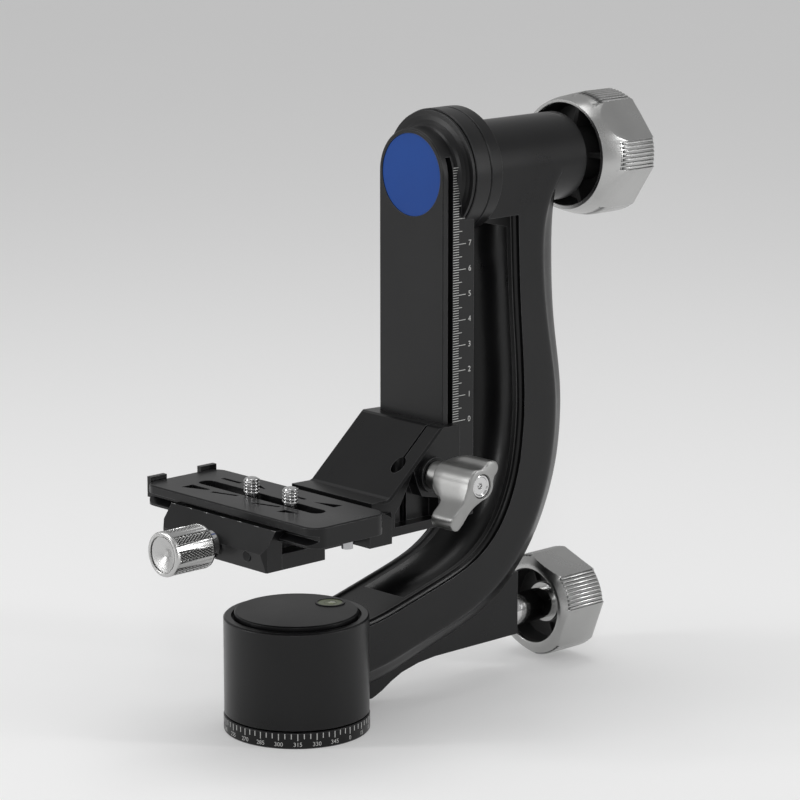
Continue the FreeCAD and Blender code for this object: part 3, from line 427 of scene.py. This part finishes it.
def thread_tree():
    """Screw thread wound up an axis along Z."""
    tree = bpy.data.node_groups.new("screw_thread", "GeometryNodeTree")
    given, out = sockets_of(
        tree,
        [
            ("Geometry", "NodeSocketGeometry", None),
            ("Turns", "NodeSocketFloat", 5.0), ("Pitch", "NodeSocketFloat", 0.00127),
            ("Radius", "NodeSocketFloat", 0.0028), ("Ridge", "NodeSocketFloat", 0.0004),
            ("Foot", "NodeSocketVector", (0.0, 0.0, 0.0)), ("Finish", "NodeSocketMaterial", None),
        ],
        [("Geometry", "NodeSocketGeometry")],
    )
    value = {socket.name: socket for socket in given.outputs}
    spiral = put(tree, "GeometryNodeCurveSpiral", {
        "Resolution": 36, "Rotations": value["Turns"], "Start Radius": value["Radius"],
        "End Radius": value["Radius"],
        "Height": calc(tree, "MULTIPLY", value["Turns"], value["Pitch"]),
    })
    ridge = put(tree, "GeometryNodeCurvePrimitiveCircle", {"Resolution": 4, "Radius": value["Ridge"]})
    wound = put(tree, "GeometryNodeCurveToMesh",
                {"Curve": spiral.outputs[0], "Profile Curve": ridge.outputs[0], "Fill Caps": True})
    moved = put(tree, "GeometryNodeTransform", {"Geometry": wound.outputs[0], "Translation": value["Foot"]})
    real = put(tree, "GeometryNodeRealizeInstances", {0: moved.outputs[0]})
    dressed = put(tree, "GeometryNodeSetMaterial",
                  {"Geometry": real.outputs[0], "Material": value["Finish"]})
    tree.links.new(dressed.outputs[0], out.inputs[0])
    return tree


REPEAT = repeat_tree()
THREAD = thread_tree()


def grow(piece, tree, material, sizes):
    """The piece's mesh replaced by what the tree makes of it."""
    modifier = piece.modifiers.new("grow", "NODES")
    modifier.node_group = tree
    for socket in tree.interface.items_tree:
        if socket.item_type != "SOCKET" or socket.in_out != "INPUT":
            continue
        if socket.name == "Finish":
            modifier[socket.identifier] = material
        elif socket.name in sizes:
            modifier[socket.identifier] = sizes[socket.name]
    view = bpy.context.evaluated_depsgraph_get()
    mesh = bpy.data.meshes.new_from_object(piece.evaluated_get(view))
    piece.modifiers.clear()
    piece.data = mesh
    return piece


def near(*point):
    """A place given in millimetres."""
    return [value * MM for value in point]


# Hand knobs
def cone_share(t):
    """How far a knob's front has opened towards its grip, from 0 to 1."""
    return 1.5 * t - 0.5 * t * t


class Knob:
    """Sizes of a many-cornered hand knob in millimetres."""

    def __init__(self, name, z, sides, front, end, rim, grip, cone, flat, corner, count, start):
        self.name = name
        self.z = z
        self.sides = sides
        self.pitch = 360 / sides
        self.front = front
        self.end = end
        self.rim = rim
        self.grip = grip
        self.cone = cone
        self.flat = flat
        self.corner = corner
        self.count = count
        self.start = start
        self.valley = grip - 0.7

    def opening(self, x):
        t = min(1.0, max(0.0, (x - self.front) / self.cone))
        return self.rim + (self.grip - self.rim) * cone_share(t)

    def reaches(self, radius):
        """Where the cone has opened to a radius."""
        low, high = self.front, self.front + self.cone
        for _ in range(30):
            middle = (low + high) / 2
            if self.opening(middle) < radius:
                low = middle
            else:
                high = middle
        return high

    def wall(self, off):
        """Radius of the grip at an angle off the nearest corner."""
        if abs(off) <= self.corner:
            return self.valley
        return self.flat / math.cos(math.radians(self.pitch / 2 - abs(off)))

    def offsets(self):
        corner = [self.corner * (k / 4 - 1) for k in range(9)]
        side = [self.corner + 0.08 + (self.pitch - 2 * self.corner - 0.16) * k / 14 for k in range(15)]
        return corner + side

    def column(self, off, angle, inside):
        near_off = off if off <= self.pitch / 2 else off - self.pitch
        radius = self.wall(near_off)
        meet = self.reaches(radius)
        column = list(inside)
        for k in range(13):
            x = self.front + (meet - self.front) * k / 12
            column.append((x, self.opening(x) if k else self.rim))
        for k in range(1, 5):
            column.append((meet + (self.end - 2.2 - meet) * k / 4, radius))
        column += [
            (self.end - 1.3, radius - 0.35),
            (self.end - 0.6, radius - 1.0),
            (self.end - 0.1, radius - 2.0),
            (self.end, radius - 3.0),
            (self.end, self.grip * 0.56),
            (self.end - 0.5, self.grip * 0.54),
            (self.end - 1.2, self.grip * 0.53),
            (self.end - 1.2, self.grip * 0.30),
            (self.end - 0.4, self.grip * 0.28),
            (self.end - 0.4, 0),
        ]
        return [about_x(x, r, angle, self.z) for x, r in column]

    def body(self, inside, material):
        columns = []
        for k in range(self.sides):
            for off in self.offsets():
                columns.append(self.column(off, self.start + self.pitch * k + off, inside))
        points, faces = rings(columns)
        return shape(self.name, points, faces, material)

    def ridges(self, material):
        """Rounded ridges across the corners, sloped off along the cone."""
        step = 2 * self.corner / self.count
        half = self.grip * math.radians(step) * 0.36
        low = self.valley - 0.15
        section = [(-half, low), (-half * 0.74, self.grip - 0.20), (-half * 0.3, self.grip - 0.01),
                   (half * 0.3, self.grip - 0.01), (half * 0.74, self.grip - 0.20), (half, low)]
        points = []
        for across, radius in section:
            points.append((self.reaches(radius), -radius, across))
        for across, radius in section:
            points.append((self.end - 1.5 - (radius - low) * 0.8, -radius, across))
        n = len(section)
        faces = [tuple(range(n)), tuple(range(2 * n - 1, n - 1, -1))]
        for k in range(n):
            j = (k + 1) % n
            faces.append((k, k + n, j + n, j))
        one = shape(self.name + "_ridges", points, faces, material, sharp=50)
        first = self.start - self.corner + step / 2
        return grow(one, REPEAT, material, {
            "In a group": self.count, "Groups": self.sides, "Step turn": math.radians(-step),
            "Group turn": math.radians(-self.pitch),
            "First turn": math.radians(-first), "Turn axis": (1.0, 0.0, 0.0), "Place": near(0, 0, self.z),
        })

    def ribs(self, x0, x1, low, high, thick, material):
        """Webs that brace the recessed front."""
        points, faces = bar(x0, x1, -high, -low, -thick / 2, thick / 2)
        one = shape(self.name + "_ribs", points, faces, material)
        return grow(one, REPEAT, material, {
            "In a group": self.sides, "Step turn": math.radians(-self.pitch),
            "First turn": math.radians(-self.start),
            "Turn axis": (1.0, 0.0, 0.0), "Place": near(0, 0, self.z),
        })


def recess_shade_sheet(name, z, floor_x, front_x, inner, outer, material):
    """Sheet of painted shade lining a knob's recessed front."""
    profile = [(floor_x - 0.05, inner), (floor_x - 0.05, outer - 0.9), (front_x + 1.6, outer),
               (front_x + 1.6, outer + 0.12),
               (floor_x + 0.1, outer - 0.7), (floor_x + 0.1, inner), (floor_x - 0.05, inner)]
    points, faces = lathe_x(profile, z)
    return shape(name, points, faces, material)


def squeezed(piece, z):
    """Squeezes what stands well outside the axis and above it, so that the knob stays in the CAD box."""
    for vertex in piece.data.vertices:
        rise = vertex.co.z - z * MM
        reach = math.hypot(vertex.co.y, rise)
        if rise > 0 and reach > SQUEEZE_FROM * MM:
            share = min(1.0, (reach / MM - SQUEEZE_FROM) / (SQUEEZE_FULL - SQUEEZE_FROM))
            vertex.co.z = z * MM + rise * (1 - share * (1 - SQUEEZE))
    return piece


def tilt_knob():
    knob = Knob("tilt_knob", TILT_Z, 5, 145.5, 174.2, 22.5, 26.0, 12.2, 24.05, 13.6, 7, 2)
    inside = [(152.2, 0), (152.2, 5.95), (143.5, 5.95), (143.5, 11.0), (157.0, 12.0), (157.0, 20.1),
              (145.75, 20.9), (145.5, 21.1)]
    settle(squeezed(knob.body(inside, silver_tilt), TILT_Z), "tilt_lock", "silver_satin", "tilt_lock_knob")
    settle(squeezed(knob.ridges(ridged_tilt), TILT_Z), "tilt_lock", "silver_satin")
    # The webs, the sheet and the hub skin in the recess are coloured with painted shade.
    settle(knob.ribs(148.6, 157.5, 10.5, 20.6, 2.0, painted_recess_shade), "tilt_lock", "silver_satin")
    settle(recess_shade_sheet("tilt_knob_shade_sheet", TILT_Z, 157.0, 145.5, 11.9, 20.75, painted_recess_shade),
           "tilt_lock", "silver_satin")
    points, faces = lathe_x([(143.45, 5.97), (143.45, 11.05), (157.0, 12.1), (157.0, 11.9),
                             (143.7, 10.9), (143.45, 5.97)], TILT_Z)
    settle(shape("tilt_knob_hub_shade_skin", points, faces, painted_recess_shade), "tilt_lock", "silver_satin")


def pan_knob():
    knob = Knob("pan_knob", LOCK_Z, 4, 128.9, 152.5, 17.3, 21.2, 2.8, 19.2, 19.8, 9, 24)
    inside = [(150.5, 0), (150.5, 3.55), (138.4, 3.55), (138.4, 14.7), (129.15, 15.5), (128.9, 15.7)]
    settle(knob.body(inside, silver_pan), "pan_lock", "silver_satin", "pan_lock_knob")
    settle(knob.ridges(ridged_pan), "pan_lock", "silver_satin")
    # The webs and the sheet in the recess are coloured with painted shade.
    settle(knob.ribs(136.5, 139.0, 9.0, 15.4, 0.7, painted_recess_shade), "pan_lock", "silver_satin")
    settle(recess_shade_sheet("pan_knob_shade_sheet", LOCK_Z, 138.4, 128.9, 8.3, 15.4, painted_recess_shade), "pan_lock",
           "silver_satin")


def clamp_knob():
    face, back, radius, smooth = -66.0, -46.5, 8.6, 8.42
    columns = []
    for k in range(8):
        for off in [-12.4, -8, -4, 0, 4, 8, 12.4, 12.6, 15, 17.5, 20, 22.5, 25, 27.5, 30, 32.4]:
            groove = off > 12.5
            low = smooth / math.cos(math.radians(22.5 - off)) if groove else radius - 0.8
            outline = [
                (face + 2.5, 0), (face + 1.9, 1.6), (face + 1.25, 3.6), (face + 0.75, 5.4),
                (face + 0.45, 6.5), (face + 0.9, 6.55), (face + 0.9, 6.95), (face + 0.15, 7.05),
                (face, 7.3), (face, 7.9), (face + 0.2, 8.35), (face + 0.7, radius),
                (face + 1.7, radius), (face + 1.9, low), (back - 1.9, low),
                (back - 1.7, radius - 0.05), (back - 0.9, radius - 0.2), (back, radius - 1.2),
                (back, 2.55), (face + 8, 2.55), (face + 8, 0),
            ]
            columns.append([about_x(x, r, 45 * k + off, CLAMP_Z) for x, r in outline])
    points, faces = rings(columns)
    settle(shape("clamp_knob_body", points, faces, silver_clamp, sharp=24), "jaw_knob", "silver_satin",
           "clamp_knob")
    across, along = 0.56, 0.84
    base, tip = radius - 0.85, radius - 0.02
    points = [(-along, -base, 0), (0, -base, -across), (along, -base, 0), (0, -base, across), (0, -tip, 0)]
    faces = [(0, 1, 4), (1, 2, 4), (2, 3, 4), (3, 0, 4), (3, 2, 1, 0)]
    one = shape("clamp_knob_knurl", points, faces, knurled_clamp, sharp=10)
    step = 7.5
    grow(one, REPEAT, knurled_clamp, {
        "In a group": 3, "Groups": 8, "Rows": 18, "Step turn": math.radians(step),
        "Group turn": math.radians(45),
        "First turn": math.radians(-1.25 * step), "Stagger": math.radians(step / 2),
        "Turn axis": (1.0, 0.0, 0.0),
        "Row step": near(0.86, 0, 0), "Place": near(face + 2.75, 0, CLAMP_Z),
    })
    settle(one, "jaw_knob", "silver_satin")


# Wing lever
LEVER_OUTLINE = [
    (-13.25, -15.4), (-15.2, -14.6), (-16.15, -12.6), (-15.8, -10.3), (-13.3, -8.0), (-10.0, -4.6),
    (-8.0, -1.1), (-7.0, 1.2), (-6.4, 3.5), (-4.8, 5.6), (-2.7, 6.8), (0.15, 6.9), (2.2, 7.7),
    (3.8, 9.0), (5.9, 9.2), (8.0, 8.3), (8.8, 6.3), (8.2, 4.6), (6.8, 3.1), (6.2, 1.1), (6.2, -1.0),
    (5.15, -3.3), (3.1, -5.0), (-0.2, -6.0), (-3.9, -7.5), (-7.1, -9.6), (-9.6, -12.2),
    (-11.3, -14.0),
]
LEVER_X, LEVER_Z, LEVER_FRONT = 50.0, 96.5, -51.0


def smooth_loop(corners, parts):
    """Closed curve through the corners, with so many parts between two of them."""
    made = []
    for k in range(len(corners)):
        a, b, c, d = (corners[(k + j) % len(corners)] for j in (-1, 0, 1, 2))
        for step in range(parts):
            t = step / parts
            made.append(tuple(
                0.5 * (2 * b[i] + (c[i] - a[i]) * t + (2 * a[i] - 5 * b[i] + 4 * c[i] - d[i]) * t * t
                       + (3 * b[i] - a[i] - 3 * c[i] + d[i]) * t ** 3) for i in (0, 1)))
    return made


def lever_back(reach):
    """Where the back of the lever lies at a distance from its axis."""
    t = min(1.0, max(0.0, (13.0 - reach) / 6.0))
    return -39.5 + 8.5 * t * t * (3 - 2 * t)


def lever_wing():
    columns = []
    front = LEVER_FRONT
    barrel, collar, foot = 6.7, 5.6, -25.5
    for dx, dz in smooth_loop(LEVER_OUTLINE, 3):
        reach = math.hypot(dx, dz)
        neck = min(barrel, reach)
        rounding = min(0.9, reach - neck)
        edge = lever_back(reach)
        profile = [(0, front + 3.5), (4.7, front + 3.5), (4.7, front + 0.3), (4.9, front),
                   (reach - 0.7, front),
                   (reach - 0.3, front + 0.12), (reach - 0.06, front + 0.5), (reach, front + 1.0)]
        for k in range(1, 5):
            profile.append((reach, front + 1.0 + (edge - 1.8 - front) * k / 4))
        profile += [(reach - 0.25 * rounding, edge - 0.25 * rounding), (reach - rounding, edge)]
        for k in range(1, 6):
            along = reach - rounding + (neck - reach + rounding) * k / 5
            profile.append((along, lever_back(along)))
        profile += [(neck - 0.2, -30.75), (collar, -30.5), (collar, foot), (0, foot)]
        columns.append([(LEVER_X + dx / reach * r, y, LEVER_Z + dz / reach * r) for r, y in profile])
    points, faces = rings(columns)
    settle(shape("lever_wing", points, faces, silver_lever, sharp=42), "lever", "silver_satin",
           "wing_lever")


def lever_cap():
    """Polished cap of the lever's screw, with its small six-sided socket."""
    columns = []
    front = LEVER_FRONT
    for k in range(72):
        turn = 5 * k
        socket = 1.08 / math.cos(math.radians(turn % 60 - 30))
        profile = [(0, front + 2.6), (socket, front + 2.6), (socket, front + 1.3),
                   (socket + 0.12, front + 1.15),
                   (3.4, front + 1.15), (3.6, front + 0.75), (3.75, front + 0.6), (4.2, front + 0.6),
                   (4.38, front + 0.75),
                   (4.42, front + 1.1), (4.42, front + 3.4), (0, front + 3.4)]
        columns.append([(LEVER_X + r * math.cos(math.radians(turn)), y,
                         LEVER_Z + r * math.sin(math.radians(turn))) for r, y in profile])
    points, faces = rings(columns)
    settle(shape("lever_cap", points, faces, bright_steel), "lever", "steel", "lever_screw")


# Scales and numbers
def flat_text(text, size):
    """Points and faces of a number, centred, in its own plane, in millimetres."""
    curve = bpy.data.curves.new("number", "FONT")
    curve.body = text
    curve.size = size
    curve.align_x = "CENTER"
    curve.align_y = "CENTER"
    curve.resolution_u = 3
    carrier = bpy.data.objects.new("number", curve)
    bpy.context.scene.collection.objects.link(carrier)
    view = bpy.context.evaluated_depsgraph_get()
    mesh = bpy.data.meshes.new_from_object(carrier.evaluated_get(view))
    points = [(v.co.x, v.co.y) for v in mesh.vertices]
    faces = [tuple(face.vertices) for face in mesh.polygons]
    bpy.data.objects.remove(carrier)
    bpy.data.meshes.remove(mesh)
    bpy.data.curves.remove(curve)
    return points, faces


def printed(name, labels, material):
    """One flat mesh of several numbers, each given with its size and the rule that places it."""
    points, faces = [], []
    for text, size, place in labels:
        flat, parts = flat_text(text, size)
        start = len(points)
        points += [place(x, y) for x, y in flat]
        faces += [tuple(start + k for k in face) for face in parts]
    mesh = bpy.data.meshes.new(name)
    mesh.from_pydata([Vector(p) * MM for p in points], [], faces)
    mesh.materials.append(material)
    made = bpy.data.objects.new(name, mesh)
    bpy.context.scene.collection.objects.link(made)
    return made


def degree_scale():
    radius, zero = 28.4, 274.0
    points, faces = bar(radius - 0.1, radius + 0.03, -0.17, 0.17, -2.0, 0.0)
    ticks = shape("degree_ticks", points, faces, white_print)
    grow(ticks, REPEAT, white_print, {
        "In a group": 72, "Step turn": math.radians(5), "First turn": math.radians(zero),
        "Turn axis": (0.0, 0.0, 1.0),
        "Long every": 3, "Long length": 1.32, "Stretch": (0.0, 0.0, 1.0), "Place": near(0, 0, 5.98),
    })
    settle(ticks, "tripod_base", "black_anodised")

    def round_rim(degrees):
        def place(x, y):
            turn = math.radians(degrees + zero) + x / radius
            return ((radius + 0.04) * math.cos(turn), (radius + 0.04) * math.sin(turn), 1.75 + y)
        return place

    labels = [(str(value), 2.35, round_rim(value)) for value in range(0, 360, 15)]
    settle(printed("degree_numbers", labels, white_print), "tripod_base", "black_anodised")


def arm_ruler():
    left, face, zero = 66.3, -18.04, 113.85
    points, faces = bar(0, 3.1, 0, 0.1, -0.12, 0.12)
    ticks = shape("ruler_ticks", points, faces, white_print)
    grow(ticks, REPEAT, white_print, {
        "In a group": 101, "Step": near(0, 0, 1), "Middle every": 5, "Middle length": 1.55,
        "Long every": 10,
        "Long length": 2.2, "Stretch": (1.0, 0.0, 0.0), "Place": near(left, face, zero),
    })
    settle(ticks, "swing", "black_anodised")

    def beside(mark):
        def place(x, y):
            return (75.3 + x, face, zero + 10 * mark + y)
        return place

    labels = [(str(mark), 3.2, beside(mark)) for mark in range(8)]
    settle(printed("ruler_numbers", labels, white_print), "swing", "black_anodised")


# Small parts
def camera_screw(name, y, body, node):
    points, faces = lathe_z([
        (0, 86.5), (5.5, 86.5), (6.0, 87.0), (6.0, 88.8), (5.7, 89.25), (2.4, 89.3), (2.4, 94.4),
        (2.66, 94.55),
        (2.66, 100.2), (2.3, 100.75), (1.5, 101.0), (0, 101.0),
    ], SCREW_X, y)
    settle(shape(name, points, faces, thread_steel), body, "steel", node)
    thread = shape(name + "_thread", *bar(0, 0.1, 0, 0.1, 0, 0.1), thread_steel)
    grow(thread, THREAD, thread_steel, {
        "Turns": 4.4, "Pitch": 1.27 * MM, "Radius": 2.72 * MM, "Ridge": 0.44 * MM,
        "Foot": near(SCREW_X, y, 94.95),
    })
    settle(thread, body, "steel")


def jaw_notches():
    """Bright cuts along the lip of the movable jaw."""
    points, faces = [], []
    for k in range(9):
        along = -1.25 + 2.5 * k / 8
        wide = 0.32 * math.cos(math.pi * (k - 4) / 9)
        points += [(-wide, along, -0.02), (0, along, 0.06), (wide, along, -0.02), (0, along, -0.2)]
    for k in range(8):
        a, b = 4 * k, 4 * k + 4
        for j in range(4):
            faces.append((a + j, a + (j + 1) % 4, b + (j + 1) % 4, b + j))
    faces += [(0, 3, 2, 1), (32, 33, 34, 35)]
    notches = shape("jaw_notches", points, faces, bright_cut)
    grow(notches, REPEAT, bright_cut, {
        "In a group": 7, "Step": near(0, 9.63, 0), "Place": near(-36.6, -28.9, 90.3),
    })
    settle(notches, "jaw", "black_anodised")


def jaw_plugs():
    """Flush plugs over the guide pins in the movable jaw's outer face."""
    points, faces = [], []
    for side in (-PIN_Y, PIN_Y):
        first = len(points)
        plug, skin = lathe_x([(JAW_FACE, 0), (JAW_FACE, 1.95), (-42.3, 2.09), (-41.2, 2.09),
                              (-41.2, 0)], PIN_Z, 40)
        points += [(x, y + side, z) for x, y, z in plug]
        faces += [tuple(first + k for k in face) for face in skin]
    settle(shape("jaw_plugs", points, faces, black_anodised), "jaw", "black_anodised")


def level_details():
    """Bubble of the level and the ring printed round it."""
    x, y, top = LEVEL_X, LEVEL_Y, LEVEL_TOP
    dome = [(1.55 * math.cos(math.radians(10 * k)),
             top - 0.02 + 0.16 * math.sin(math.radians(10 * k))) for k in range(10)]
    points, faces = lathe_z([(0, top - 0.1), (1.55, top - 0.1)] + dome[:-1] + [(0, top + 0.14)],
                            x + 0.3, y - 0.5, 40)
    settle(shape("level_bubble", points, faces, level_bubble), "frame", "bubble_glass")
    points, faces = lathe_z([(2.35, top - 0.05), (2.35, top + 0.03), (2.5, top + 0.03),
                             (2.5, top - 0.05), (2.35, top - 0.05)], x, y)
    settle(shape("level_mark", points, faces, level_mark), "frame", "bubble_glass")


# Studio
def studio():
    ground = bpy.data.meshes.new("floor")
    reach = 9.0
    ground.from_pydata([(-reach, -reach, 0), (reach, -reach, 0), (reach, reach, 0), (-reach, reach, 0)],
                       [], [(0, 1, 2, 3)])
    floor = bpy.data.objects.new("floor", ground)
    bpy.context.scene.collection.objects.link(floor)
    pale = bpy.data.materials.new("pale_floor")
    pale.use_nodes = True
    tree = pale.node_tree
    tree.nodes.clear()
    skin = use(tree, GRAIN, {"Fine": 500.0, "Broad": 1.5})
    colour = blend(tree, skin.outputs["Broad"], (0.78, 0.78, 0.78, 1.0), (0.80, 0.80, 0.80, 1.0))
    relief = put(tree, "ShaderNodeBump", {"Height": skin.outputs["Fine"], "Strength": 0.1,
                                          "Distance": 0.0001})
    path = put(tree, "ShaderNodeLightPath").outputs
    seen = calc(tree, "MAXIMUM", path["Is Camera Ray"],
                calc(tree, "MAXIMUM", path["Is Glossy Ray"], path["Is Transmission Ray"]))
    shader = put(tree, "ShaderNodeBsdfPrincipled", {
        "Base Color": colour, "Roughness": 0.85, "Normal": relief.outputs[0], "Specular IOR Level": 0.2,
        "Emission Color": (1.0, 1.0, 1.0, 1.0), "Emission Strength": span(tree, seen, 0.0, 0.16),
    })
    out = put(tree, "ShaderNodeOutputMaterial")
    tree.links.new(shader.outputs[0], out.inputs[0])
    ground.materials.append(pale)

    world = bpy.data.worlds.new("studio")
    bpy.context.scene.world = world
    world.use_nodes = True
    tree = world.node_tree
    tree.nodes.clear()
    sky = put(tree, "ShaderNodeBackground", {"Color": (1.0, 1.0, 1.0, 1.0), "Strength": 0.45})
    out = put(tree, "ShaderNodeOutputWorld")
    tree.links.new(sky.outputs[0], out.inputs[0])


def softbox(name, place, aim, wide, high, power):
    light = bpy.data.lights.new(name, "AREA")
    light.shape = "RECTANGLE"
    light.size = wide
    light.size_y = high
    light.energy = power
    lamp = bpy.data.objects.new(name, light)
    lamp.location = place
    lamp.rotation_euler = (Vector(aim) - Vector(place)).to_track_quat("-Z", "Y").to_euler()
    bpy.context.scene.collection.objects.link(lamp)


def lamps():
    middle = (0.03, 0.0, 0.12)
    softbox("strip_left", (-0.72, 0.52, 0.45), middle, 0.11, 0.6, 2.2)
    softbox("strip_right", (0.62, -0.84, 0.45), middle, 0.11, 0.6, 2.2)
    softbox("strip_front", (-0.90, -1.02, 0.75), middle, 0.13, 0.7, 2.6)
    softbox("top", (0.10, 0.15, 1.25), middle, 0.9, 0.6, 4.0)


def camera():
    # Solved from the photograph: the directions of the picture, the place and the focal length
    right = Vector((0.72670, -0.68695, 0.0))
    up = Vector((0.14564, 0.15407, 0.97727))
    back = Vector((-0.67134, -0.71018, 0.21201))
    lens = bpy.data.cameras.new("camera")
    lens.sensor_width = 36.0
    lens.lens = 147.24
    lens.clip_start = 0.01
    seen = bpy.data.objects.new("camera", lens)
    turn = Matrix((right, up, back)).transposed().to_4x4()
    seen.matrix_world = Matrix.Translation(Vector((-0.805998, -0.910841, 0.393473))) @ turn
    bpy.context.scene.collection.objects.link(seen)
    bpy.context.scene.camera = seen
    bpy.context.scene.view_settings.view_transform = "Standard"


camera()
studio()
lamps()
dress_cad_nodes()
tilt_knob()
pan_knob()
clamp_knob()
degree_scale()
arm_ruler()
camera_screw("screw_near", SCREW_NEAR_Y, "screw_near", "camera_screw_near")
camera_screw("screw_far", SCREW_FAR_Y, "screw_far", "camera_screw_far")
lever_wing()
lever_cap()
jaw_notches()
jaw_plugs()
level_details()
